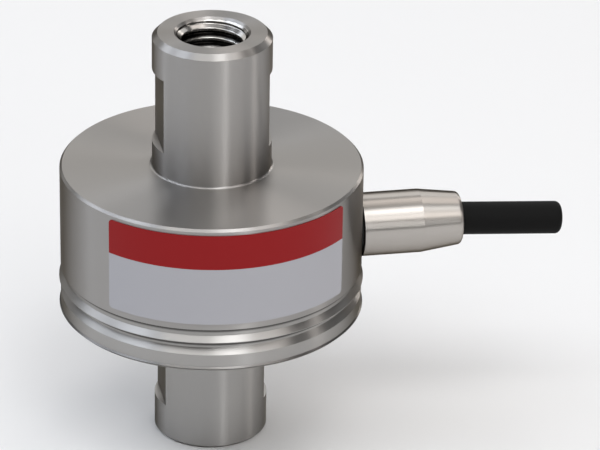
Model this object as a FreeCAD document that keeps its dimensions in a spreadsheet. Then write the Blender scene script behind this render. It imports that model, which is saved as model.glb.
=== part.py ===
import FreeCAD, Part
import math
import os
import re
import Sketcher
from FreeCAD import Placement, Rotation, Vector

# Weighing load cell of the canister kind, loaded through a threaded column at each end.
# The upper column and the drum are one turned housing. The lower column carries a hub, four
# bending beams and an outer ring, turned and milled from one bar, and the ring is screwed to
# the drum from below. Strain gauges on the beams feed a terminal board and a shielded cable,
# which leaves the drum through a turned gland.
# Frame: millimetres, +Z up along the load axis, origin in the lower end face, gland along +X.

doc = FreeCAD.newDocument("WeighingLoadCell")

# Driving dimensions
sizes = {
    # columns
    "upper_column_diameter": 20.0,
    "lower_column_diameter": 19.2,
    "upper_column_height": 23.9,
    "lower_column_height": 23.6,
    "upper_end_chamfer": 0.9,
    "lower_end_chamfer": 0.5,
    "column_root_fillet": 0.4,
    "flat_margin": 6.3,
    "flat_length": 13.0,
    "upper_flat_depth": 1.15,
    "lower_flat_depth": 1.1,
    # threaded holes
    "thread_diameter": 12.0,
    "thread_pitch": 1.75,
    "thread_mouth_chamfer": 0.35,
    "upper_thread_floor": 3.9,
    "lower_thread_floor": 3.6,
    "drill_overrun": 2.0,
    "drill_point_angle": 118.0,
    # drum
    "drum_diameter": 50.9,
    "drum_height": 18.2,
    "drum_edge_chamfer": 0.4,
    "drum_inner_fillet": 1.0,
    "top_plate_thickness": 4.5,
    "wall_thickness": 3.0,
    "ring_width": 7.25,
    "rim_ratio": 0.73,
    # outer edge of the ring, from the underside up
    "flange_chamfer": 0.5,
    "flange_proud": 0.25,
    "flange_edge_height": 2.95,
    "shoulder_height": 1.0,
    "groove_height": 1.35,
    "groove_depth": 0.9,
    "bead_land": 0.1,
    "bead_height": 0.9,
    "bead_proud": 0.27,
    "seam_groove_height": 1.3,
    "seam_groove_depth": 0.55,
    # bending beams
    "beam_drop": 0.6,
    "beam_thickness": 2.4,
    "beam_width": 7.0,
    "beam_root_fillet": 0.8,
    # sealing diaphragm
    "diaphragm_thickness": 0.4,
    "diaphragm_seat_width": 0.9,
    "diaphragm_wave_width": 1.0,
    "diaphragm_clearance": 0.05,
    # seal in the seam
    "seal_section": 0.8,
    "seal_side_clearance": 0.12,
    "seal_ratio": 0.18,
    # cap screws
    "screw_ratio": 0.476,
    "screw_diameter": 2.5,
    "screw_length": 10.0,
    "screw_head_diameter": 4.5,
    "screw_head_height": 2.5,
    "screw_head_recess": 0.4,
    "screw_head_clearance": 0.15,
    "screw_socket_size": 2.0,
    "screw_socket_depth": 1.2,
    "screw_clearance": 0.2,
    "screw_thread_clearance": 0.05,
    "screw_tip_room": 0.8,
    # cable gland
    "gland_rise": 4.8,
    "gland_shoulder_width": 0.67,
    "gland_length": 17.3,
    "gland_taper_length": 7.1,
    "gland_taper_drop": 0.93,
    "gland_edge_fillet": 0.8,
    "gland_thread_length": 4.5,
    "gland_thread_wall": 0.475,
    "gland_thread_clearance": 0.05,
    "gland_thread_chamfer": 0.15,
    "gland_bore_wall": 0.4,
    "gland_mouth_clearance": 0.15,
    "gland_mouth_length": 5.3,
    "gland_seal_section": 1.0,
    "gland_seal_clearance": 0.045,
    "spotface_depth": 0.95,
    "spotface_clearance": 0.03,
    "bush_length": 8.0,
    "clamp_ring_length": 3.0,
    # cable
    "cable_diameter": 5.6,
    "jacket_thickness": 1.0,
    "shield_thickness": 0.2,
    "shield_bare_length": 0.7,
    "core_ratio": 0.6875,
    "core_gap": 0.03,
    "cable_hole_clearance": 0.4,
    "cable_inner_length": 0.6,
    "cable_stub_length": 17.7,
    "cable_straight_length": 2.5,
    "cable_bend_radius": 30.0,
    "cable_bend_angle": 3.8,
    "cable_end_fillet": 0.95,
    # terminal board
    "board_edge_clearance": 2.7,
    "board_thickness": 1.0,
    "board_pad_inset": 5.5,
    "board_pad_spacing": 3.0,
    "core_turn_length": 2.0,
    "core_drop": 1.0,
    "spacer_height": 1.2,
    "spacer_diameter": 3.2,
    "spacer_inset": 3.1,
    "board_screw_diameter": 1.6,
    "board_screw_clearance": 0.1,
    "board_screw_length": 5.0,
    "board_screw_head_diameter": 3.0,
    "board_screw_head_height": 1.0,
    "board_screw_slot_width": 0.4,
    "board_screw_slot_depth": 0.5,
    # resistors
    "resistor_inset": 4.8,
    "resistor_diameter": 1.8,
    "resistor_length": 3.4,
    "resistor_lift": 0.2,
    "resistor_lead_diameter": 0.5,
    "resistor_lead_overhang": 0.8,
    "resistor_row_spacing": 2.6,
    # strain gauges
    "gauge_ratio": 0.3,
    "gauge_end_ratio": 0.08,
    "gauge_side_margin": 1.7,
    "gauge_thickness": 0.15,
    "gauge_tab_ratio": 0.23,
    "gauge_tab_height": 0.1,
    "gauge_lead_diameter": 0.3,
    "gauge_lead_rise": 0.4,
    "gauge_lead_shift": 0.5,
    # label
    "label_top_margin": 1.0,
    "label_bottom_margin": 1.1,
    "label_thickness": 0.1,
    "label_glue_thickness": 0.05,
    "label_angle": 98.5,
    "label_azimuth": -91.2,
    "label_corner": 0.7,
}

# Dimensions that follow from them
followers = {
    # heights, from the lower end face up
    "shoulder_bottom": "lower_column_height + flange_edge_height",
    "shoulder_top": "shoulder_bottom + shoulder_height",
    "bead_bottom": "shoulder_top + groove_height",
    "bead_crest": "bead_bottom + bead_land",
    "bead_top": "bead_crest + bead_height",
    "seam_height": "bead_top + seam_groove_height",
    "beam_top": "seam_height - beam_drop",
    "beam_bottom": "beam_top - beam_thickness",
    "drum_top": "seam_height + drum_height",
    "plate_bottom": "drum_top - top_plate_thickness",
    "rim_top": "seam_height + rim_ratio * (drum_height - top_plate_thickness)",
    "total_height": "drum_top + upper_column_height",
    "diaphragm_top": "lower_column_height + diaphragm_thickness",
    # radii about the load axis
    "column_radius": "upper_column_diameter / 2",
    "hub_radius": "lower_column_diameter / 2",
    "drum_radius": "drum_diameter / 2",
    "wall_inner_radius": "drum_radius - wall_thickness",
    "ring_inner_radius": "drum_radius - ring_width",
    "groove_radius": "drum_radius - groove_depth",
    "seam_groove_radius": "drum_radius - seam_groove_depth",
    "bead_radius": "drum_radius + bead_proud",
    "flange_radius": "drum_radius + flange_proud",
    "label_inner_radius": "drum_radius + label_glue_thickness",
    "diaphragm_seat_radius": "ring_inner_radius + diaphragm_seat_width",
    "diaphragm_wave_radius": "(hub_radius + ring_inner_radius) / 2",
    "seal_radius": "ring_inner_radius + seal_ratio * ring_width",
    "screw_circle_radius": "drum_radius - screw_ratio * ring_width",
    # threaded holes
    "thread_radius": "thread_diameter / 2",
    "mouth_radius": "thread_radius + thread_mouth_chamfer",
    "drill_radius": "(thread_diameter - thread_pitch) / 2",
    "drill_point_length": "drill_radius / tan(drill_point_angle / 2)",
    "upper_thread_end": "drum_top + upper_thread_floor",
    "upper_drill_end": "upper_thread_end - drill_overrun",
    "lower_thread_end": "lower_column_height - lower_thread_floor",
    "lower_drill_end": "lower_thread_end + drill_overrun",
    # cap screws
    "head_bottom": "lower_column_height + screw_head_recess",
    "screw_seat": "head_bottom + screw_head_height",
    "screw_end": "screw_seat + screw_length",
    # gland and cable, along the gland's axis and about it
    "gland_height": "seam_height + gland_rise",
    "spotface_distance": "drum_radius - spotface_depth",
    "gland_seat": "spotface_distance + gland_seal_section",
    "gland_inner_end": "gland_seat - gland_thread_length",
    "gland_outer_end": "gland_seat + gland_length",
    "gland_shoulder": "gland_outer_end - gland_mouth_length",
    "bush_start": "gland_shoulder - bush_length",
    "clamp_ring_start": "bush_start - clamp_ring_length",
    "cable_radius": "cable_diameter / 2",
    "gland_bore_radius": "cable_radius + gland_bore_wall",
    "gland_mouth_radius": "cable_radius + gland_mouth_clearance",
    "gland_thread_radius": "gland_bore_radius + gland_thread_wall",
    "gland_seal_radius": "gland_thread_radius + gland_seal_clearance + gland_seal_section / 2",
    "spotface_radius": "gland_seal_radius + gland_seal_section / 2 + spotface_clearance",
    "gland_radius": "spotface_radius + gland_shoulder_width",
    "gland_end_radius": "gland_radius - gland_taper_drop",
    "shield_radius": "cable_radius - jacket_thickness",
    "shield_bore_radius": "shield_radius - shield_thickness",
    "core_diameter": "shield_bore_radius * core_ratio",
    "core_offset": "(core_diameter + core_gap) / 2",
    "jacket_end": "ring_inner_radius - cable_inner_length",
    "shield_end": "jacket_end - shield_bare_length",
    "cable_reach": "gland_outer_end + cable_stub_length",
    "cable_bend_start": "gland_shoulder + cable_straight_length",
    "cable_bend_end": "cable_bend_start + cable_bend_radius * sin(cable_bend_angle)",
    "cable_corner": "cable_bend_start + cable_bend_radius * tan(cable_bend_angle / 2)",
    "cable_drop": "(cable_reach - cable_corner) * tan(cable_bend_angle)",
    # terminal board
    "board_radius": "ring_inner_radius - board_edge_clearance",
    "board_bottom": "seam_height + spacer_height",
    "board_top": "board_bottom + board_thickness",
    "board_pad_distance": "board_radius - board_pad_inset",
    "spacer_circle_radius": "hub_radius - spacer_inset",
    "board_hole_radius": "board_screw_diameter / 2 + board_screw_clearance",
    "resistor_distance": "board_radius - resistor_inset",
    # strain gauges
    "beam_length": "ring_inner_radius - hub_radius",
    "gauge_length": "beam_length * gauge_ratio",
    "gauge_width": "beam_width - 2 * gauge_side_margin",
    "gauge_tab_length": "gauge_length * gauge_tab_ratio",
    "gauge_tab_width": "gauge_width / 4",
    "gauge_tab_side": "gauge_width / 4",
    "inner_gauge_distance": "hub_radius + beam_length * gauge_end_ratio + gauge_length / 2",
    "outer_gauge_distance": "ring_inner_radius - beam_length * gauge_end_ratio - gauge_length / 2",
}

screw_count = 6
beam_count = 4
spacer_count = 3
resistor_azimuths = (120, 240)

sheet = doc.addObject("Spreadsheet::Sheet", "Sizes")
cells = [(name, str(value)) for name, value in sizes.items()]
cells += [(name, "=" + formula) for name, formula in followers.items()]
for row, (name, content) in enumerate(cells, start=1):
    sheet.set("A%d" % row, name)
    sheet.set("B%d" % row, content)
    sheet.setAlias("B%d" % row, name)
doc.recompute()

# Number by which a sketch knows its own origin
origin_point = (-1, 1)


def bound(text):
    """The same expression with each size read from the spreadsheet."""
    return re.sub(r"\b([a-z]+(?:_[a-z]+)+)\b", r"Sizes.\1", text)


def value_of(text):
    """Number that an expression of the sizes gives, in millimetres."""
    result = sheet.evalExpression(text)
    return float(getattr(result, "Value", result))


def point_at(x, y, z):
    return Vector(value_of(x), value_of(y), value_of(z))


def bind(thing, **properties):
    """Tie properties to expressions; a double underscore stands for a dot."""
    for name, text in properties.items():
        thing.setExpression(name.replace("__", "."), bound(text))


def new_body(label):
    body = doc.addObject("PartDesign::Body", label)
    body.Label = label
    return body


def origin_feature(body, role):
    return next(feature for feature in body.Origin.OriginFeatures if feature.Role == role)


def new_sketch(body, name, plane, height=None):
    """Empty sketch on an origin plane of the body, lifted along the plane's normal by height."""
    sketch = body.newObject("Sketcher::SketchObject", name)
    sketch.AttachmentSupport = [(origin_feature(body, plane), "")]
    sketch.MapMode = "FlatFace"
    if height is not None:
        sketch.AttachmentOffset = Placement(Vector(0, 0, value_of(height)), Rotation())
        sketch.setExpression("AttachmentOffset.Base.z", bound(height))
    return sketch


def add_size(sketch, kind, where, text):
    """Dimension of the sketch that follows an expression."""
    number = sketch.addConstraint(Sketcher.Constraint(kind, *where, value_of(text)))
    sketch.setExpression("Constraints[%d]" % number, bound(text))


def hold_point(sketch, geometry, point, x, y):
    """Hold a point at two coordinates, or on the sketch's axis where a coordinate is nought."""
    for kind, text, axis in (("DistanceX", x, -2), ("DistanceY", y, -1)):
        if text == "0":
            sketch.addConstraint(Sketcher.Constraint("PointOnObject", geometry, point, axis))
        else:
            add_size(sketch, kind, (*origin_point, geometry, point), text)


def draw_outline(sketch, corners):
    """Closed outline of straight lines, each corner held by its own two expressions."""
    points = [Vector(value_of(x), value_of(y), 0) for x, y in corners]
    first = sketch.GeometryCount
    count = len(corners)
    for index in range(count):
        line = Part.LineSegment(points[index], points[(index + 1) % count])
        sketch.addGeometry(line, False)
    for index, (x, y) in enumerate(corners):
        before = first + (index - 1) % count
        sketch.addConstraint(Sketcher.Constraint("Coincident", before, 2, first + index, 1))
        hold_point(sketch, first + index, 1, x, y)
    return sketch


def draw_circle(sketch, x, y, radius):
    centre = Vector(value_of(x), value_of(y), 0)
    number = sketch.addGeometry(Part.Circle(centre, Vector(0, 0, 1), value_of(radius)), False)
    hold_point(sketch, number, 3, x, y)
    add_size(sketch, "Radius", (number,), radius)
    return sketch


def rectangle(x0, y0, x1, y1):
    return [(x0, y0), (x1, y0), (x1, y1), (x0, y1)]


def revolve(body, name, sketch, axis="V_Axis"):
    feature = body.newObject("PartDesign::Revolution", name)
    feature.Profile = sketch
    feature.ReferenceAxis = (sketch, [axis])
    feature.Angle = 360
    return feature


def pad(body, name, sketch, length, both_ways=False):
    feature = body.newObject("PartDesign::Pad", name)
    feature.Profile = sketch
    feature.Midplane = both_ways
    feature.Length = value_of(length)
    bind(feature, Length=length)
    return feature


def pocket(body, name, sketch, length, along_normal=False, both_ways=False):
    """Pocket of a given depth; along_normal sends it to the sketch's front side."""
    feature = body.newObject("PartDesign::Pocket", name)
    feature.Profile = sketch
    feature.Midplane = both_ways
    feature.Reversed = along_normal
    feature.Length = value_of(length)
    bind(feature, Length=length)
    return feature


def polar_pattern(body, name, originals, count):
    feature = body.newObject("PartDesign::PolarPattern", name)
    feature.Originals = originals
    feature.Axis = (origin_feature(body, "Z_Axis"), [""])
    feature.Angle = 360
    feature.Occurrences = count
    body.Tip = feature
    return feature


def mirror(body, name, originals, plane):
    feature = body.newObject("PartDesign::Mirrored", name)
    feature.Originals = originals
    feature.MirrorPlane = (origin_feature(body, plane), [""])
    body.Tip = feature
    return feature


def edges_where(feature, test):
    """Names of the feature's edges that pass a test."""
    doc.recompute()
    return ["Edge%d" % (k + 1) for k, edge in enumerate(feature.Shape.Edges) if test(edge)]


def round_edges(body, name, base, test, radius):
    feature = body.newObject("PartDesign::Fillet", name)
    feature.Base = (base, edges_where(base, test))
    feature.Radius = value_of(radius)
    bind(feature, Radius=radius)
    doc.recompute()
    return feature


def full_circle(edge, radius, centre):
    """True for a full circle of this radius about this centre."""
    curve = edge.Curve
    if not edge.Closed or not isinstance(curve, Part.Circle):
        return False
    return abs(curve.Radius - radius) < 1e-4 and (curve.Center - centre).Length < 1e-4


def round_circle(body, name, base, radius, height, fillet):
    """Fillet on the circular edge of this radius about Z at this height."""
    centre = Vector(0, 0, value_of(height))
    return round_edges(body, name, base,
                       lambda edge: full_circle(edge, value_of(radius), centre), fillet)


def upright(edge, length):
    """True for a straight edge along Z of this length."""
    if not isinstance(edge.Curve, Part.Line):
        return False
    return abs(abs(edge.Curve.Direction.z) - 1) < 1e-6 and abs(edge.Length - length) < 1e-4


def wrench_flats(body, bottom, radius, depth):
    """Two opposite flats milled across a column, facing along X."""
    sketch = new_sketch(body, "FlatSketch", "XZ_Plane")
    draw_outline(sketch, rectangle(radius + " - " + depth, bottom,
                                   radius + " + " + depth, bottom + " + flat_length"))
    cut = pocket(body, "Flat", sketch, "4 * " + radius, both_ways=True)
    return mirror(body, "Flats", [cut], "YZ_Plane")


def upper_housing():
    """Upper column, top plate and drum wall, turned from one bar."""
    body = new_body("upper_housing")
    profile = new_sketch(body, "Profile", "XZ_Plane")
    draw_outline(profile, [
        ("0", "upper_drill_end - drill_point_length"),
        ("drill_radius", "upper_drill_end"),
        ("drill_radius", "upper_thread_end"),
        ("thread_radius", "upper_thread_end"),
        ("thread_radius", "total_height - thread_mouth_chamfer"),
        ("mouth_radius", "total_height"),
        ("column_radius - upper_end_chamfer", "total_height"),
        ("column_radius", "total_height - upper_end_chamfer"),
        ("column_radius", "drum_top"),
        ("drum_radius - drum_edge_chamfer", "drum_top"),
        ("drum_radius", "drum_top - drum_edge_chamfer"),
        ("drum_radius", "seam_height"),
        ("ring_inner_radius", "seam_height"),
        ("ring_inner_radius", "rim_top"),
        ("wall_inner_radius", "rim_top"),
        ("wall_inner_radius", "plate_bottom"),
        ("0", "plate_bottom"),
    ])
    turned = revolve(body, "Turned", profile)
    rounded = round_circle(body, "ColumnRoot", turned,
                           "column_radius", "drum_top", "column_root_fillet")
    round_circle(body, "InnerCorner", rounded,
                 "wall_inner_radius", "plate_bottom", "drum_inner_fillet")
    wrench_flats(body, "total_height - flat_margin - flat_length",
                 "column_radius", "upper_flat_depth")

    tapped = new_sketch(body, "TappedHoleSketch", "XY_Plane", "seam_height")
    draw_circle(tapped, "0", "screw_circle_radius", "screw_diameter / 2 + screw_thread_clearance")
    hole = pocket(body, "TappedHole", tapped, "screw_end + screw_tip_room - seam_height",
                  along_normal=True)
    polar_pattern(body, "TappedHoles", [hole], screw_count)

    cable_hole = new_sketch(body, "CableHoleSketch", "YZ_Plane")
    draw_circle(cable_hole, "0", "gland_height", "cable_radius + cable_hole_clearance")
    pocket(body, "CableHole", cable_hole, "drum_diameter", along_normal=True)

    gland_hole = new_sketch(body, "GlandHoleSketch", "YZ_Plane", "gland_inner_end")
    draw_circle(gland_hole, "0", "gland_height", "gland_thread_radius + gland_thread_clearance")
    pocket(body, "GlandHole", gland_hole, "drum_diameter", along_normal=True)

    spotface = new_sketch(body, "SpotfaceSketch", "YZ_Plane", "spotface_distance")
    draw_circle(spotface, "0", "gland_height", "spotface_radius")
    pocket(body, "Spotface", spotface, "drum_diameter", along_normal=True)
    return body


def sensing_element():
    """Lower column, hub, four bending beams and outer ring, turned and milled in one piece."""
    body = new_body("sensing_element")
    profile = new_sketch(body, "Profile", "XZ_Plane")
    draw_outline(profile, [
        ("mouth_radius", "0"),
        ("thread_radius", "thread_mouth_chamfer"),
        ("thread_radius", "lower_thread_end"),
        ("drill_radius", "lower_thread_end"),
        ("drill_radius", "lower_drill_end"),
        ("0", "lower_drill_end + drill_point_length"),
        ("0", "seam_height"),
        ("hub_radius", "seam_height"),
        ("hub_radius", "beam_top"),
        ("ring_inner_radius", "beam_top"),
        ("ring_inner_radius", "seam_height"),
        ("seam_groove_radius", "seam_height"),
        ("seam_groove_radius", "bead_top"),
        ("bead_radius", "bead_crest"),
        ("bead_radius", "bead_bottom"),
        ("groove_radius", "bead_bottom"),
        ("groove_radius", "shoulder_top"),
        ("drum_radius", "shoulder_bottom"),
        ("drum_radius", "lower_column_height + flange_chamfer + flange_proud"),
        ("flange_radius", "lower_column_height + flange_chamfer"),
        ("flange_radius - flange_chamfer", "lower_column_height"),
        ("diaphragm_seat_radius", "lower_column_height"),
        ("diaphragm_seat_radius", "diaphragm_top"),
        ("ring_inner_radius", "diaphragm_top"),
        ("ring_inner_radius", "beam_bottom"),
        ("hub_radius", "beam_bottom"),
        ("hub_radius", "lower_end_chamfer"),
        ("hub_radius - lower_end_chamfer", "0"),
    ])
    revolve(body, "Turned", profile)

    window = new_sketch(body, "WindowSketch", "XY_Plane", "beam_bottom")
    draw_window(window)
    opening = pocket(body, "Window", window, "beam_thickness", along_normal=True)
    windows = polar_pattern(body, "Windows", [opening], beam_count)
    thickness = value_of("beam_thickness")
    round_edges(body, "BeamRoots", windows,
                lambda edge: upright(edge, thickness), "beam_root_fillet")

    wrench_flats(body, "flat_margin", "hub_radius", "lower_flat_depth")

    counterbore = new_sketch(body, "CounterboreSketch", "XY_Plane", "lower_column_height")
    draw_circle(counterbore, "0", "screw_circle_radius",
                "screw_head_diameter / 2 + screw_head_clearance")
    recess = pocket(body, "Counterbore", counterbore, "screw_seat - lower_column_height",
                    along_normal=True)
    clearance = new_sketch(body, "ClearanceHoleSketch", "XY_Plane", "lower_column_height")
    draw_circle(clearance, "0", "screw_circle_radius", "screw_diameter / 2 + screw_clearance")
    hole = pocket(body, "ClearanceHole", clearance, "seam_height", along_normal=True)
    polar_pattern(body, "ScrewHoles", [recess, hole], screw_count)

    groove_sketch = new_sketch(body, "SealGrooveSketch", "XZ_Plane")
    half_width = "(seal_section / 2 + seal_side_clearance)"
    draw_outline(groove_sketch, rectangle(
        "seal_radius - " + half_width, "seam_height - seal_section",
        "seal_radius + " + half_width, "seam_height + seal_section"))
    groove = body.newObject("PartDesign::Groove", "SealGroove")
    groove.Profile = groove_sketch
    groove.ReferenceAxis = (groove_sketch, ["V_Axis"])
    groove.Angle = 360

    board_hole = new_sketch(body, "BoardScrewHoleSketch", "XY_Plane", "seam_height")
    draw_circle(board_hole, "-spacer_circle_radius", "0",
                "board_screw_diameter / 2 + screw_thread_clearance")
    tapped = pocket(body, "BoardScrewHole", board_hole,
                    "board_screw_length - board_thickness - spacer_height + screw_tip_room")
    polar_pattern(body, "BoardScrewHoles", [tapped], spacer_count)
    return body


def draw_window(sketch):
    """Opening between two beams: an arc at the hub, an arc at the ring and two straight sides."""
    inner, outer = value_of("hub_radius"), value_of("ring_inner_radius")
    half = value_of("beam_width / 2")
    centre, normal = Vector(0, 0, 0), Vector(0, 0, 1)

    def arc(radius):
        start = math.asin(half / radius)
        return Part.ArcOfCircle(Part.Circle(centre, normal, radius), start, math.pi / 2 - start)

    def along(radius):
        return math.sqrt(radius ** 2 - half ** 2)

    low_side = Part.LineSegment(Vector(along(inner), half, 0), Vector(along(outer), half, 0))
    high_side = Part.LineSegment(Vector(half, along(outer), 0), Vector(half, along(inner), 0))
    hub_arc, low, ring_arc, high = 0, 1, 2, 3
    for shape in (arc(inner), low_side, arc(outer), high_side):
        sketch.addGeometry(shape, False)
    for joined in ((hub_arc, 1, low, 1), (low, 2, ring_arc, 1),
                   (ring_arc, 2, high, 1), (high, 2, hub_arc, 2),
                   (hub_arc, 3, *origin_point), (ring_arc, 3, *origin_point)):
        sketch.addConstraint(Sketcher.Constraint("Coincident", *joined))
    sketch.addConstraint(Sketcher.Constraint("Horizontal", low))
    sketch.addConstraint(Sketcher.Constraint("Vertical", high))
    add_size(sketch, "Radius", (hub_arc,), "hub_radius")
    add_size(sketch, "Radius", (ring_arc,), "ring_inner_radius")
    add_size(sketch, "DistanceY", (*origin_point, low, 1), "beam_width / 2")
    add_size(sketch, "DistanceX", (*origin_point, high, 1), "beam_width / 2")


def bottom_diaphragm():
    """Thin corrugated washer that closes the ring's underside and lets the hub move."""
    body = new_body("bottom_diaphragm")
    inner = "hub_radius + diaphragm_clearance"
    outer = "diaphragm_seat_radius - diaphragm_clearance"
    low, high = "lower_column_height", "diaphragm_top"
    rise = " + diaphragm_wave_width"
    left, right = "diaphragm_wave_radius - ", "diaphragm_wave_radius + "
    foot, crest = "diaphragm_wave_width", "diaphragm_wave_width / 2"
    shift = "diaphragm_thickness / 2"
    profile = new_sketch(body, "Profile", "XZ_Plane")
    draw_outline(profile, [
        (inner, low),
        (left + foot, low),
        (left + crest, low + rise),
        (right + crest, low + rise),
        (right + foot, low),
        (outer, low),
        (outer, high),
        (right + foot + " + " + shift, high),
        (right + crest + " + " + shift, high + rise),
        (left + crest + " - " + shift, high + rise),
        (left + foot + " - " + shift, high),
        (inner, high),
    ])
    revolve(body, "Formed", profile)
    return body


def seal_ring(label, radius, section, base, rotation=Rotation()):
    """Round-section seal squeezed to the height of its groove."""
    ring = doc.addObject("Part::Torus", label)
    ring.Label = label
    bind(ring, Radius1=radius, Radius2=section + " / 2")
    ring.Placement = Placement(point_at(*base), rotation)
    bind(ring, Placement__Base__x=base[0], Placement__Base__z=base[2])
    return ring


def cap_screws():
    """Socket head cap screws that hold the ring to the drum, heads down."""
    body = new_body("cap_screws")
    place = ("0", "screw_circle_radius")
    head = draw_circle(new_sketch(body, "HeadSketch", "XY_Plane", "head_bottom"),
                       *place, "screw_head_diameter / 2")
    head_pad = pad(body, "Head", head, "screw_head_height")
    shank = draw_circle(new_sketch(body, "ShankSketch", "XY_Plane", "screw_seat"),
                        *place, "screw_diameter / 2")
    shank_pad = pad(body, "Shank", shank, "screw_length")
    socket = new_sketch(body, "SocketSketch", "XY_Plane", "head_bottom")
    draw_hexagon(socket, *place, "screw_socket_size")
    socket_cut = pocket(body, "Socket", socket, "screw_socket_depth", along_normal=True)
    polar_pattern(body, "Screws", [head_pad, shank_pad, socket_cut], screw_count)
    return body


def draw_hexagon(sketch, x, y, across):
    """Regular hexagon by its width across flats."""
    corner = "(" + across + " / sqrt(3))"
    turns = ((1, 0), (0.5, 1), (-0.5, 1), (-1, 0), (-0.5, -1), (0.5, -1))
    corners = []
    for along, side in turns:
        corners.append((x + " + " + str(along) + " * " + corner,
                        y + " + " + str(side) + " * " + across + " / 2"))
    draw_outline(sketch, corners)


def gland_body():
    """Turned gland with a threaded stub, a tapered outer end and a stepped bore."""
    body = new_body("gland_body")
    bind(body, Placement__Base__z="gland_height")
    profile = new_sketch(body, "Profile", "XZ_Plane")
    draw_outline(profile, [
        ("gland_inner_end", "gland_bore_radius"),
        ("gland_inner_end", "gland_thread_radius - gland_thread_chamfer"),
        ("gland_inner_end + gland_thread_chamfer", "gland_thread_radius"),
        ("gland_seat", "gland_thread_radius"),
        ("gland_seat", "gland_radius"),
        ("gland_outer_end - gland_taper_length", "gland_radius"),
        ("gland_outer_end", "gland_end_radius"),
        ("gland_outer_end", "gland_mouth_radius"),
        ("gland_shoulder", "gland_mouth_radius"),
        ("gland_shoulder", "gland_bore_radius"),
    ])
    turned = revolve(body, "Turned", profile, "H_Axis")
    end_centre = Vector(value_of("gland_outer_end"), 0, 0)
    end_radius = value_of("gland_end_radius")
    round_edges(body, "RoundedEnd", turned,
                lambda edge: full_circle(edge, end_radius, end_centre), "gland_edge_fillet")
    return body


def sleeve(label, start, end):
    """Plain sleeve round the cable that fills the gland's bore."""
    body = new_body(label)
    bind(body, Placement__Base__z="gland_height")
    profile = new_sketch(body, "Profile", "XZ_Plane")
    draw_outline(profile, rectangle(start, "cable_radius", end, "gland_bore_radius"))
    revolve(body, "Turned", profile, "H_Axis")
    return body


def cable_tube(label, outer, inner, start):
    """Hollow layer of the cable, straight through the gland and bent a little outside it."""
    body = new_body(label)
    bind(body, Placement__Base__z="gland_height")
    path = new_sketch(body, "Path", "XZ_Plane")
    radius = value_of("cable_bend_radius")
    turn = math.radians(value_of("cable_bend_angle"))
    bend_start = Vector(value_of("cable_bend_start"), 0, 0)
    centre = bend_start - Vector(0, radius, 0)
    bend_end = centre + Vector(radius * math.sin(turn), radius * math.cos(turn), 0)
    tip = Vector(value_of("cable_reach"), -value_of("cable_drop"), 0)
    bend = Part.ArcOfCircle(Part.Circle(centre, Vector(0, 0, 1), radius),
                            math.pi / 2 - turn, math.pi / 2)
    straight, arc, outside = 0, 1, 2
    path.addGeometry(Part.LineSegment(Vector(value_of(start), 0, 0), bend_start), False)
    path.addGeometry(bend, False)
    path.addGeometry(Part.LineSegment(bend_end, tip), False)
    path.addConstraint(Sketcher.Constraint("Tangent", straight, 2, arc, 2))
    path.addConstraint(Sketcher.Constraint("Tangent", arc, 1, outside, 1))
    hold_point(path, straight, 1, start, "0")
    hold_point(path, straight, 2, "cable_bend_start", "0")
    add_size(path, "Radius", (arc,), "cable_bend_radius")
    add_size(path, "DistanceX", (*origin_point, outside, 1), "cable_bend_end")
    add_size(path, "DistanceX", (*origin_point, outside, 2), "cable_reach")

    section = new_sketch(body, "Section", "YZ_Plane", start)
    draw_circle(section, "0", "0", outer)
    draw_circle(section, "0", "0", inner)
    doc.recompute()
    pipe = body.newObject("PartDesign::AdditivePipe", "Layer")
    pipe.Profile = section
    pipe.Spine = path
    doc.recompute()
    return body, pipe


def cable_jacket():
    """Outer jacket of the cable, with its cut end rounded."""
    body, layer = cable_tube("cable_jacket", "cable_radius", "shield_radius", "jacket_end")
    centre = Vector(value_of("cable_reach"), 0, -value_of("cable_drop"))
    radius = value_of("cable_radius")
    round_edges(body, "RoundedEnd", layer,
                lambda edge: full_circle(edge, radius, centre), "cable_end_fillet")
    return body


def cable_shield():
    """Braided shield under the jacket, bared a little at its inner end."""
    return cable_tube("cable_shield", "shield_radius", "shield_bore_radius", "shield_end")[0]


def wire_solid(corners, diameter):
    """Round wire along straight runs joined by tangent arcs."""
    points = [point_at(*corner) for corner in corners]
    edges = []
    last = points[0]
    for before, corner, after in zip(points, points[1:], points[2:]):
        back = (before - corner).normalize()
        on = (after - corner).normalize()
        half_turn = (math.pi - back.getAngle(on)) / 2
        if half_turn < 1e-6:
            continue
        run = min((before - corner).Length, (after - corner).Length)
        cut = 0.45 * run
        radius = cut / math.tan(half_turn)
        bisector = (back + on).normalize()
        centre = corner + bisector * (radius / math.cos(half_turn))
        start, end = corner + back * cut, corner + on * cut
        middle = centre - bisector * radius
        edges.append(Part.LineSegment(last, start).toShape())
        edges.append(Part.Arc(start, middle, end).toShape())
        last = end
    edges.append(Part.LineSegment(last, points[-1]).toShape())
    path = Part.Wire(edges)
    section = Part.Circle(points[0], points[1] - points[0], value_of(diameter) / 2).toShape()
    return path.makePipeShell([Part.Wire(section)], True, False)


def wire_feature(label, solids):
    feature = doc.addObject("Part::Feature", label)
    feature.Label = label
    feature.Shape = solids[0] if len(solids) == 1 else Part.makeCompound(solids)
    feature.Placement = Placement()
    return feature


def cable_core(label, side, level, pad_place):
    """Insulated core, from the cut end of the cable to its pad on the board."""
    sideways = side + " * core_offset"
    height = "gland_height + " + level + " * core_offset"
    pad_side = pad_place + " * board_pad_spacing"
    corners = [
        ("cable_reach", sideways, height + " - cable_drop"),
        ("cable_corner", sideways, height),
        ("shield_end - core_diameter", sideways, height),
        ("board_pad_distance + core_turn_length", pad_side, height),
        ("board_pad_distance", pad_side, height + " - core_drop"),
        ("board_pad_distance", pad_side, "board_top"),
    ]
    return wire_feature(label, [wire_solid(corners, "core_diameter")])


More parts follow.
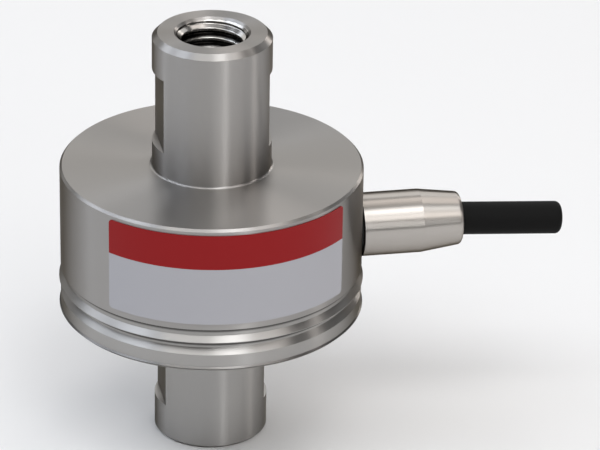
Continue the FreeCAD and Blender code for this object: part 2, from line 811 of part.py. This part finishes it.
def terminal_board():
    """Round board above the hub that joins the gauges to the cable."""
    body = new_body("terminal_board")
    outline = new_sketch(body, "Outline", "XY_Plane", "board_bottom")
    draw_circle(outline, "0", "0", "board_radius")
    pad(body, "Board", outline, "board_thickness")
    hole_sketch = new_sketch(body, "HoleSketch", "XY_Plane", "board_bottom")
    draw_circle(hole_sketch, "-spacer_circle_radius", "0", "board_hole_radius")
    hole = pocket(body, "Hole", hole_sketch, "board_thickness", along_normal=True)
    polar_pattern(body, "Holes", [hole], spacer_count)
    return body


def board_spacers():
    """Sleeves that hold the board clear of the hub."""
    body = new_body("board_spacers")
    ring = new_sketch(body, "RingSketch", "XY_Plane", "seam_height")
    place = ("-spacer_circle_radius", "0")
    draw_circle(ring, *place, "spacer_diameter / 2")
    draw_circle(ring, *place, "board_hole_radius")
    sleeve_pad = pad(body, "Spacer", ring, "spacer_height")
    polar_pattern(body, "Spacers", [sleeve_pad], spacer_count)
    return body


def board_screws():
    """Slotted screws through the board and its spacers into the hub."""
    body = new_body("board_screws")
    place = ("-spacer_circle_radius", "0")
    shank = draw_circle(new_sketch(body, "ShankSketch", "XY_Plane",
                                   "board_top - board_screw_length"),
                        *place, "board_screw_diameter / 2")
    shank_pad = pad(body, "Shank", shank, "board_screw_length")
    head = draw_circle(new_sketch(body, "HeadSketch", "XY_Plane", "board_top"),
                       *place, "board_screw_head_diameter / 2")
    head_pad = pad(body, "Head", head, "board_screw_head_height")
    slot = new_sketch(body, "SlotSketch", "XY_Plane",
                      "board_top + board_screw_head_height - board_screw_slot_depth")
    draw_outline(slot, rectangle(
        "-spacer_circle_radius - board_screw_slot_width / 2",
        "-board_screw_head_diameter",
        "-spacer_circle_radius + board_screw_slot_width / 2",
        "board_screw_head_diameter"))
    slot_cut = pocket(body, "Slot", slot, "board_screw_head_height", along_normal=True)
    polar_pattern(body, "Screws", [shank_pad, head_pad, slot_cut], spacer_count)
    return body


def compensation_resistors():
    """Four wire-ended resistors that trim the bridge, in two pairs between the board's screws."""
    solids = []
    half_span = "(resistor_length / 2 + resistor_lead_overhang)"
    axis_height = "board_top + resistor_lift + resistor_diameter / 2"
    for azimuth in resistor_azimuths:
        for row in ("-0.5", "0.5"):
            distance = "(resistor_distance + " + row + " * resistor_row_spacing)"

            def corner(across, height):
                x = "%s * cos(%d) - %s * sin(%d)" % (distance, azimuth, across, azimuth)
                y = "%s * sin(%d) + %s * cos(%d)" % (distance, azimuth, across, azimuth)
                return (x, y, height)

            lead = wire_solid([
                corner("-1 * " + half_span, "board_top"), corner("-1 * " + half_span, axis_height),
                corner(half_span, axis_height), corner(half_span, "board_top"),
            ], "resistor_lead_diameter")
            start = point_at(*corner("-0.5 * resistor_length", axis_height))
            end = point_at(*corner("0.5 * resistor_length", axis_height))
            coat = Part.makeCylinder(value_of("resistor_diameter / 2"),
                                     value_of("resistor_length"), start, end - start)
            solids.append(lead.fuse(coat).Solids[0])
    return wire_feature("compensation_resistors", solids)


# Distance of each gauge, direction of its beam, and the way its solder tabs face along the beam
gauges = []
for direction in ((1, 0), (0, 1), (-1, 0), (0, -1)):
    gauges.append(("inner_gauge_distance", direction, 1))
    gauges.append(("outer_gauge_distance", direction, -1))


def strain_gauge(number, distance, direction, facing):
    """Foil gauge bonded on a beam, with two raised solder tabs at its free end."""
    body = new_body("strain_gauge_%d" % number)
    turn = math.degrees(math.atan2(facing * direction[1], facing * direction[0]))
    body.Placement = Placement(Vector(), Rotation(Vector(0, 0, 1), turn))
    bind(body,
         Placement__Base__x="%d * %s" % (direction[0], distance),
         Placement__Base__y="%d * %s" % (direction[1], distance),
         Placement__Base__z="beam_top")
    foil = new_sketch(body, "FoilSketch", "XY_Plane")
    draw_outline(foil, rectangle("-gauge_length / 2", "-gauge_width / 2",
                                 "gauge_length / 2", "gauge_width / 2"))
    pad(body, "Foil", foil, "gauge_thickness")
    tabs = new_sketch(body, "TabSketch", "XY_Plane", "gauge_thickness")
    for side in ("-", ""):
        draw_outline(tabs, rectangle(
            "gauge_length / 2 - gauge_tab_length", side + "gauge_tab_side - gauge_tab_width / 2",
            "gauge_length / 2", side + "gauge_tab_side + gauge_tab_width / 2"))
    pad(body, "Tabs", tabs, "gauge_tab_height")
    return body


def gauge_leads():
    """Pairs of enamelled wires from the gauges' tabs up to the board."""
    solids = []
    tab_top = "(beam_top + gauge_thickness + gauge_tab_height)"
    for distance, (x_way, y_way), facing in gauges:
        tab = "(%s + %d * (gauge_length - gauge_tab_length) / 2)" % (distance, facing)
        for side in (-1, 1):
            low = "(%d * gauge_tab_side)" % side
            high = "(%d * (gauge_tab_side + gauge_lead_shift / 2))" % side
            route = [
                (low, tab_top),
                (low, tab_top + " + gauge_lead_rise"),
                (high, "board_bottom - gauge_lead_rise"),
                (high, "board_bottom"),
            ]
            corners = []
            for across, height in route:
                corners.append(("%d * %s - %d * %s" % (x_way, tab, y_way, across),
                                "%d * %s + %d * %s" % (y_way, tab, x_way, across), height))
            solids.append(wire_solid(corners, "gauge_lead_diameter"))
    return wire_feature("gauge_leads", solids)


def rating_label():
    """Thin label glued round the front of the drum, with rounded corners."""
    body = new_body("rating_label")
    body.Placement = Placement(Vector(), Rotation(Vector(0, 0, 1), value_of("label_azimuth")))
    profile = new_sketch(body, "Profile", "XZ_Plane")
    draw_outline(profile, rectangle(
        "label_inner_radius", "seam_height + label_bottom_margin",
        "label_inner_radius + label_thickness", "drum_top - label_top_margin"))
    band = revolve(body, "Band", profile)
    band.Midplane = True
    bind(band, Angle="label_angle")
    thickness = value_of("label_thickness")

    def radial(edge):
        return isinstance(edge.Curve, Part.Line) and abs(edge.Length - thickness) < 1e-5

    round_edges(body, "Corners", band, radial, "label_corner")
    return body


pieces = [
    upper_housing(),
    sensing_element(),
    bottom_diaphragm(),
    seal_ring("housing_seal", "seal_radius", "seal_section",
              ("0", "0", "seam_height - seal_section / 2")),
    cap_screws(),
    gland_body(),
    seal_ring("gland_seal", "gland_seal_radius", "gland_seal_section",
              ("spotface_distance + gland_seal_section / 2", "0", "gland_height"),
              Rotation(Vector(0, 1, 0), 90)),
    sleeve("cable_bush", "bush_start", "gland_shoulder"),
    sleeve("clamp_ring", "clamp_ring_start", "bush_start"),
    cable_jacket(),
    cable_shield(),
    cable_core("core_red", "-1", "1", "-1.5"),
    cable_core("core_black", "-1", "-1", "-0.5"),
    cable_core("core_white", "1", "-1", "0.5"),
    cable_core("core_green", "1", "1", "1.5"),
    terminal_board(),
    board_spacers(),
    board_screws(),
    compensation_resistors(),
    *[strain_gauge(number, *gauge) for number, gauge in enumerate(gauges, start=1)],
    gauge_leads(),
    rating_label(),
]
doc.recompute()

for thing in doc.Objects:
    if "Invalid" in thing.State or "Error" in thing.State:
        raise RuntimeError("%s failed: %s" % (thing.Label, thing.State))
for piece in pieces:
    if piece.Shape.isNull() or not piece.Shape.isValid():
        raise RuntimeError("%s has no valid shape" % piece.Label)

os.makedirs("parts", exist_ok=True)
for piece in pieces:
    piece.Shape.exportStep("parts/%s.step" % piece.Label)
print("%d pieces written" % len(pieces))
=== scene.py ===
import math
import bmesh
import bpy
from mathutils import Matrix, Vector


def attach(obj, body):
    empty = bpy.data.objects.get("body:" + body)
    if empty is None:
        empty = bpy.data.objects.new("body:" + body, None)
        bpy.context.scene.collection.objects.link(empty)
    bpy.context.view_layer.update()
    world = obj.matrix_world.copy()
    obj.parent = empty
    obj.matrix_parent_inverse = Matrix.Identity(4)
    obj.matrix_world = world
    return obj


# Weighing load cell: looks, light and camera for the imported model.
# Metres, +Z up along the load axis, gland along +X, label towards -Y.

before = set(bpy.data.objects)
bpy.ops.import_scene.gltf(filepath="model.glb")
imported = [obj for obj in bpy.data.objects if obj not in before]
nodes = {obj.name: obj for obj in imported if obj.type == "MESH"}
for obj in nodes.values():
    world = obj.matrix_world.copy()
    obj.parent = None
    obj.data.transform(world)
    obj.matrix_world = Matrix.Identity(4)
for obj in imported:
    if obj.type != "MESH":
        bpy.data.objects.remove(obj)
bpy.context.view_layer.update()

MM = 0.001

# Sizes shared with the model, in millimetres
TOTAL_HEIGHT = 73.3
THREAD_RADIUS = 6.0
THREAD_PITCH = 1.75
THREAD_DEPTH = 20.0
DRUM_RADIUS = 25.45
GLAND_HEIGHT = 36.0
LABEL_BAND_HEIGHT = 42.3

# Strength of the world, and where the camera stands round the object, in degrees
SKY_LIGHT = 0.135
CAMERA_AZIMUTH = -9.6


# Materials


class Nodes:
    """Short way to build a material's node tree."""

    def __init__(self, name):
        self.material = bpy.data.materials.new(name)
        self.material.use_nodes = True
        self.tree = self.material.node_tree
        self.shader = self.tree.nodes["Principled BSDF"]

    def add(self, kind, **settings):
        node = self.tree.nodes.new(kind)
        for key, value in settings.items():
            setattr(node, key, value)
        return node

    def link(self, output, socket):
        self.tree.links.new(output, socket)

    def math(self, operation, *values):
        node = self.add("ShaderNodeMath", operation=operation)
        for socket, value in zip(node.inputs, values):
            if isinstance(value, (int, float)):
                socket.default_value = value
            else:
                self.link(value, socket)
        return node.outputs[0]

    def position(self):
        """The point in the object's own frame, as x, y and z."""
        split = self.add("ShaderNodeSeparateXYZ")
        self.link(self.add("ShaderNodeTexCoord").outputs["Object"], split.inputs[0])
        return split.outputs

    def ramp(self, value, start, end):
        """Nought at the start, one at the end, both in millimetres."""
        node = self.add("ShaderNodeMapRange", interpolation_type="SMOOTHSTEP")
        node.inputs["From Min"].default_value = start * MM
        node.inputs["From Max"].default_value = end * MM
        self.link(value, node.inputs["Value"])
        return node.outputs[0]

    def set(self, **values):
        for key, value in values.items():
            self.shader.inputs[key.replace("_", " ")].default_value = value


def plain(name, color, roughness=0.5, metallic=0.0, **more):
    made = Nodes(name)
    made.set(Base_Color=(*color, 1), Roughness=roughness, Metallic=metallic, **more)
    return made.material


def turned_metal(name, color, roughness, groove=0.25, depth=0.3, about="z", height=0.0,
                 brush=0.8, blotch=0.05, painted_shade=None):
    """Turned metal: fine rings about an axis, a little cloudiness in colour and polish, and
    painted shade from a mask where one is given.
    """
    made = Nodes(name)
    x, y, z = made.position()
    if about == "z":
        across, other, along = x, y, z
    else:
        across, other, along = made.math("SUBTRACT", z, height * MM), y, x
    radius = made.math("SQRT", made.math("ADD", made.math("MULTIPLY", across, across),
                                         made.math("MULTIPLY", other, other)))
    lathe = made.add("ShaderNodeCombineXYZ")
    made.link(made.math("MULTIPLY", radius, 1 / (groove * MM)), lathe.inputs[0])
    made.link(made.math("MULTIPLY", along, 1 / (groove * MM)), lathe.inputs[1])
    rings = made.add("ShaderNodeTexNoise", noise_dimensions="2D")
    rings.inputs["Scale"].default_value = 1.0
    rings.inputs["Detail"].default_value = 2.0
    made.link(lathe.outputs[0], rings.inputs["Vector"])
    tangent = made.add("ShaderNodeTangent", direction_type="RADIAL", axis=about.upper())
    made.link(tangent.outputs[0], made.shader.inputs["Tangent"])
    made.set(Anisotropic=brush, Anisotropic_Rotation=0.25)
    bump = made.add("ShaderNodeBump")
    bump.inputs["Strength"].default_value = depth
    bump.inputs["Distance"].default_value = 0.01 * MM
    made.link(rings.outputs["Fac"], bump.inputs["Height"])
    made.link(bump.outputs[0], made.shader.inputs["Normal"])

    cloud = made.add("ShaderNodeTexNoise")
    cloud.inputs["Scale"].default_value = 90.0
    cloud.inputs["Detail"].default_value = 4.0
    made.link(made.add("ShaderNodeTexCoord").outputs["Object"], cloud.inputs["Vector"])
    tone = made.add("ShaderNodeMix", data_type="RGBA")
    tone.inputs["A"].default_value = (*[c * (1 - blotch) for c in color], 1)
    tone.inputs["B"].default_value = (*[min(1, c * (1 + blotch)) for c in color], 1)
    made.link(cloud.outputs["Fac"], tone.inputs["Factor"])
    metal = tone.outputs["Result"]
    # Painted shade: where a mask is given, the base colour is mixed towards near-black by it
    if painted_shade:
        dark = made.add("ShaderNodeMix", data_type="RGBA")
        dark.inputs["B"].default_value = (0.03, 0.028, 0.026, 1)
        made.link(metal, dark.inputs["A"])
        made.link(painted_shade(made, radius, along), dark.inputs["Factor"])
        metal = dark.outputs["Result"]
    made.link(metal, made.shader.inputs["Base Color"])
    polish = made.add("ShaderNodeMapRange")
    polish.inputs["To Min"].default_value = roughness * 0.9
    polish.inputs["To Max"].default_value = roughness * 1.12
    made.link(cloud.outputs["Fac"], polish.inputs["Value"])
    made.link(polish.outputs[0], made.shader.inputs["Roughness"])
    made.set(Metallic=1.0, Specular_Tint=(0.11, 0.095, 0.07, 1))
    return made.material


def groove_painted_shade(made, radius, along):
    """Painted shade in the ring's two grooves, and a darker lower edge of the flange."""
    seam = made.ramp(along, 30.35, 30.75)
    between = made.math("MULTIPLY", made.ramp(along, 27.75, 28.05),
                        made.math("LESS_THAN", along, 28.88 * MM))
    grooves = made.math("MULTIPLY", made.math("MAXIMUM", seam, between), 0.8)
    edge = made.math("MULTIPLY", made.ramp(radius, DRUM_RADIUS - 0.05, DRUM_RADIUS + 0.05),
                     made.ramp(along, 24.45, 24.35))
    return made.math("MAXIMUM", grooves, made.math("MULTIPLY", edge, 0.5))


def thread_root_painted_shade(made, radius, along):
    """Painted shade in the thread roots below the first turn, crests left bare."""
    return made.math("MULTIPLY", made.ramp(radius, 5.25, 5.6),
                     made.ramp(along, TOTAL_HEIGHT - 1.85, TOTAL_HEIGHT - 2.05))


def label_film():
    """Printed film: a red band above a silver-grey field."""
    made = Nodes("label_film")
    x, y, z = made.position()
    band = made.math("GREATER_THAN", z, LABEL_BAND_HEIGHT * MM)
    tone = made.add("ShaderNodeMix", data_type="RGBA")
    tone.inputs["A"].default_value = (0.405, 0.405, 0.434, 1)
    tone.inputs["B"].default_value = (0.265, 0.009, 0.0105, 1)
    made.link(band, tone.inputs["Factor"])
    made.link(tone.outputs["Result"], made.shader.inputs["Base Color"])
    made.set(Roughness=0.42, Specular_IOR_Level=0.14)
    return made.material


def braid():
    """Tinned wires crossing over each other."""
    made = Nodes("shield_braid")
    x, y, z = made.position()
    angle = made.math("ARCTAN2", y, made.math("SUBTRACT", z, GLAND_HEIGHT * MM))
    turns = made.math("MULTIPLY", angle, 8.0)
    rise = made.math("MULTIPLY", x, 2 * math.pi / (0.9 * MM))
    crossing = made.math("MULTIPLY", made.math("SINE", made.math("ADD", turns, rise)),
                         made.math("SINE", made.math("SUBTRACT", turns, rise)))
    bump = made.add("ShaderNodeBump")
    bump.inputs["Strength"].default_value = 1.0
    bump.inputs["Distance"].default_value = 0.05 * MM
    made.link(crossing, bump.inputs["Height"])
    made.link(bump.outputs[0], made.shader.inputs["Normal"])
    made.set(Base_Color=(0.62, 0.60, 0.56, 1), Metallic=1.0, Roughness=0.32)
    return made.material


def cable_skin():
    """Extruded black jacket with a faint grain."""
    made = Nodes("cable_skin")
    grain = made.add("ShaderNodeTexNoise")
    grain.inputs["Scale"].default_value = 2500.0
    made.link(made.add("ShaderNodeTexCoord").outputs["Object"], grain.inputs["Vector"])
    bump = made.add("ShaderNodeBump")
    bump.inputs["Strength"].default_value = 0.25
    bump.inputs["Distance"].default_value = 0.02 * MM
    made.link(grain.outputs["Fac"], bump.inputs["Height"])
    made.link(bump.outputs[0], made.shader.inputs["Normal"])
    made.set(Base_Color=(0.006, 0.006, 0.006, 1), Roughness=0.65, Specular_IOR_Level=0.1)
    return made.material


housing_steel = turned_metal("housing_steel", (0.385, 0.373, 0.362), 0.35, brush=0.92)
# The element's two grooves get painted shade, and its flange a darker lower edge
element_steel = turned_metal("element_steel", (0.41, 0.40, 0.388), 0.33, depth=0.12, brush=0.92,
                             painted_shade=groove_painted_shade)
gland_steel = turned_metal("gland_steel", (0.455, 0.428, 0.40), 0.30, 0.3, 0.9,
                           about="x", height=GLAND_HEIGHT)
# The thread roots get painted shade below the first turn
thread_steel = turned_metal("thread_steel", (0.465, 0.45, 0.432), 0.22, painted_shade=thread_root_painted_shade)
black_rubber = plain("black_rubber", (0.012, 0.012, 0.012), 0.65)
screw_steel = plain("screw_steel", (0.30, 0.29, 0.29), 0.32, 1.0)
sleeve_brass = plain("sleeve_brass", (0.72, 0.52, 0.22), 0.30, 1.0)
diaphragm_steel = plain("diaphragm_steel", (0.55, 0.54, 0.53), 0.25, 1.0)

looks = {
    "upper_housing": (housing_steel, "steel_housing"),
    "sensing_element": (element_steel, "steel_element"),
    "bottom_diaphragm": (diaphragm_steel, "diaphragm_steel"),
    "housing_seal": (black_rubber, "seal_rubber"),
    "gland_seal": (black_rubber, "seal_rubber"),
    "cap_screws": (screw_steel, "screw_steel"),
    "board_screws": (screw_steel, "screw_steel"),
    "gland_body": (gland_steel, "gland_metal"),
    "cable_bush": (plain("bush_rubber", (0.03, 0.03, 0.03), 0.6), "bush_rubber"),
    "clamp_ring": (sleeve_brass, "brass_ring"),
    "cable_jacket": (cable_skin(), "jacket_black"),
    "cable_shield": (braid(), "copper_braid"),
    "core_red": (plain("core_red_skin", (0.50, 0.02, 0.02), 0.35), "insulation_red"),
    "core_black": (plain("core_black_skin", (0.015, 0.015, 0.015), 0.35), "insulation_black"),
    "core_white": (plain("core_white_skin", (0.78, 0.78, 0.75), 0.35), "insulation_white"),
    "core_green": (plain("core_green_skin", (0.02, 0.26, 0.06), 0.35), "insulation_green"),
    "terminal_board": (plain("board_laminate", (0.02, 0.16, 0.06), 0.35), "board_laminate"),
    "board_spacers": (plain("spacer_nylon", (0.72, 0.70, 0.62), 0.5), "spacer_plastic"),
    "compensation_resistors": (plain("resistor_coat", (0.14, 0.33, 0.55), 0.3), "resistor_coat"),
    "gauge_leads": (plain("lead_enamel", (0.55, 0.20, 0.08), 0.3, 1.0), "lead_copper"),
    "rating_label": (label_film(), "label_film"),
}
gauge_film = plain("gauge_film", (0.62, 0.33, 0.08), 0.35)
for number in range(1, 9):
    looks["strain_gauge_%d" % number] = (gauge_film, "gauge_foil")

for name, (material, slot) in looks.items():
    node = nodes[name]
    node.data.materials.clear()
    node.data.materials.append(material)


# Thread turns


def thread_profile(phase):
    """Radius of an internal thread over one pitch: crest at phase 0, root at phase 0.5."""
    crest, root = 5.12, 5.95
    away = abs((phase + 0.5) % 1.0 - 0.5)
    flat_crest, flat_root = 0.10, 0.42
    share = (away - flat_crest) / (flat_root - flat_crest)
    return crest + (root - crest) * min(1.0, max(0.0, share))


def thread_turns(name, material, flipped):
    """Closed sleeve in the threaded hole, cut with the thread's turns and a conical lead-in."""
    around, rows_per_turn = 128, 24
    outer = THREAD_RADIUS + 0.05
    first, last = 0.36, THREAD_DEPTH - 0.02
    crest_depth, crest_azimuth = 1.78, math.radians(80.4)
    rows = int((last - first) / THREAD_PITCH * rows_per_turn) + 2 * rows_per_turn
    verts, faces = [], []

    def place(radius, azimuth, depth):
        z = TOTAL_HEIGHT - depth
        x, y = radius * math.cos(azimuth), radius * math.sin(azimuth)
        if flipped:
            y, z = -y, depth
        return (x * MM, y * MM, z * MM)

    for row in range(rows):
        for step in range(around + 1):
            azimuth = 2 * math.pi * step / around
            turn = (azimuth - crest_azimuth) / (2 * math.pi)
            phase = row / rows_per_turn - 1.0
            depth = crest_depth + THREAD_PITCH * (phase - turn)
            depth = min(last, max(first, depth))
            phase = (depth - crest_depth) / THREAD_PITCH + turn
            lead_in = THREAD_RADIUS + 0.36 - depth
            radius = max(thread_profile(phase), min(lead_in, THREAD_RADIUS))
            verts.append(place(radius, azimuth, depth))
    for row in range(rows - 1):
        for step in range(around):
            a = row * (around + 1) + step
            faces.append((a, a + 1, a + around + 2, a + around + 1))
    top, bottom = len(verts), len(verts) + around + 1
    for depth in (first, last):
        for step in range(around + 1):
            verts.append(place(outer, 2 * math.pi * step / around, depth))
    for step in range(around):
        faces.append((top + step, top + step + 1, step + 1, step))
        low = (rows - 1) * (around + 1) + step
        faces.append((low, low + 1, bottom + step + 1, bottom + step))
        faces.append((bottom + step, bottom + step + 1, top + step + 1, top + step))

    mesh = bpy.data.meshes.new(name)
    mesh.from_pydata(verts, [], faces)
    shape = bmesh.new()
    shape.from_mesh(mesh)
    bmesh.ops.remove_doubles(shape, verts=shape.verts, dist=1e-7)
    bmesh.ops.dissolve_degenerate(shape, edges=shape.edges, dist=1e-7)
    bmesh.ops.recalc_face_normals(shape, faces=shape.faces)
    shape.to_mesh(mesh)
    shape.free()
    for face in mesh.polygons:
        face.use_smooth = True
    piece = bpy.data.objects.new(name, mesh)
    bpy.context.scene.collection.objects.link(piece)
    piece.data.materials.append(material)
    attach(piece, "root")
    return piece


thread_turns("upper_thread_turns", thread_steel, False)
thread_turns("lower_thread_turns", thread_steel, True)


# Floor and light


def stage_plane(name, size, place, turn, material):
    mesh = bpy.data.meshes.new(name)
    half = size / 2
    mesh.from_pydata([(-half, -half, 0), (half, -half, 0), (half, half, 0), (-half, half, 0)],
                     [], [(0, 1, 2, 3)])
    plane = bpy.data.objects.new(name, mesh)
    plane.location = place
    plane.rotation_euler = turn
    plane.data.materials.append(material)
    bpy.context.scene.collection.objects.link(plane)
    return plane


pale_floor = plain("pale_floor", (0.80, 0.80, 0.80), 0.9, Specular_IOR_Level=0.0)
stage_plane("floor", 4.0, (0, 0, 0), (0, 0, 0), pale_floor)

world = bpy.data.worlds.new("studio")
bpy.context.scene.world = world
world.use_nodes = True
backdrop = world.node_tree.nodes["Background"]
backdrop.inputs["Color"].default_value = (1, 1, 1, 1)
backdrop.inputs["Strength"].default_value = SKY_LIGHT


def area_light(name, azimuth, elevation, distance, size, radiance, color=(1, 1, 1)):
    """Soft box at an azimuth from the camera's side of the object, aimed at the object."""
    lamp = bpy.data.lights.new(name, "AREA")
    lamp.shape = "RECTANGLE"
    lamp.size, lamp.size_y = size
    lamp.energy = radiance * math.pi * size[0] * size[1]
    lamp.color = color
    around = math.radians(azimuth + CAMERA_AZIMUTH)
    height = math.radians(elevation)
    aim = Vector((0, 0, 0.036))
    out = Vector((math.sin(around) * math.cos(height), -math.cos(around) * math.cos(height),
                  math.sin(height)))
    holder = bpy.data.objects.new(name, lamp)
    holder.location = aim + out * distance
    holder.rotation_euler = (-out).to_track_quat("-Z", "Y").to_euler()
    holder.visible_camera = False
    bpy.context.scene.collection.objects.link(holder)


cool, warm = (0.94, 1.0, 1.10), (1.05, 0.99, 0.95)
area_light("front_strip", 25, 16, 1.08, (0.13, 0.40), 5.8)
area_light("right_strip", 84, 13, 0.99, (0.13, 0.43), 3.4, warm)
area_light("right_rear_strip", 142, 13, 1.08, (0.18, 0.43), 3.6, warm)
area_light("left_strip", -97, 6, 1.08, (0.13, 0.22), 2.7, cool)
area_light("front_box", 18, 41, 1.35, (0.54, 0.40), 2.7)
area_light("left_front_box", -30, 36, 1.35, (0.65, 0.54), 0.4)
area_light("front_top_box", -10, 65, 1.44, (1.08, 0.61), 3.2)
area_light("left_top_box", -75, 50, 1.40, (0.83, 0.58), 3.0, cool)
area_light("left_box", -112, 38, 1.35, (0.72, 0.36), 2.9, cool)
area_light("right_box", 50, 36, 1.35, (0.65, 0.54), 1.7, warm)
area_light("right_top_box", 45, 64, 1.44, (0.81, 0.65), 1.6)
area_light("right_rear_top_box", 135, 64, 1.44, (0.81, 0.65), 1.7, warm)
area_light("rear_box", 180, 34, 1.80, (2.88, 1.08), 1.3)

# Camera

camera = bpy.data.objects.new("camera", bpy.data.cameras.new("camera"))
camera.data.lens = 239.133
camera.data.sensor_width = 36.0
camera.data.clip_start = 0.01
camera.data.clip_end = 20.0
right = Vector((0.982816, -0.184003, 0.014698))
up = Vector((0.068675, 0.438397, 0.896154))
forward = Vector((0.171339, 0.879745, -0.443500))
camera.matrix_world = Matrix.Translation(Vector((-100.384, -593.506, 335.853)) * MM) @ Matrix(
    (right, up, -forward)).transposed().to_4x4()
bpy.context.scene.collection.objects.link(camera)
bpy.context.scene.camera = camera
bpy.context.scene.view_settings.view_transform = "Standard"
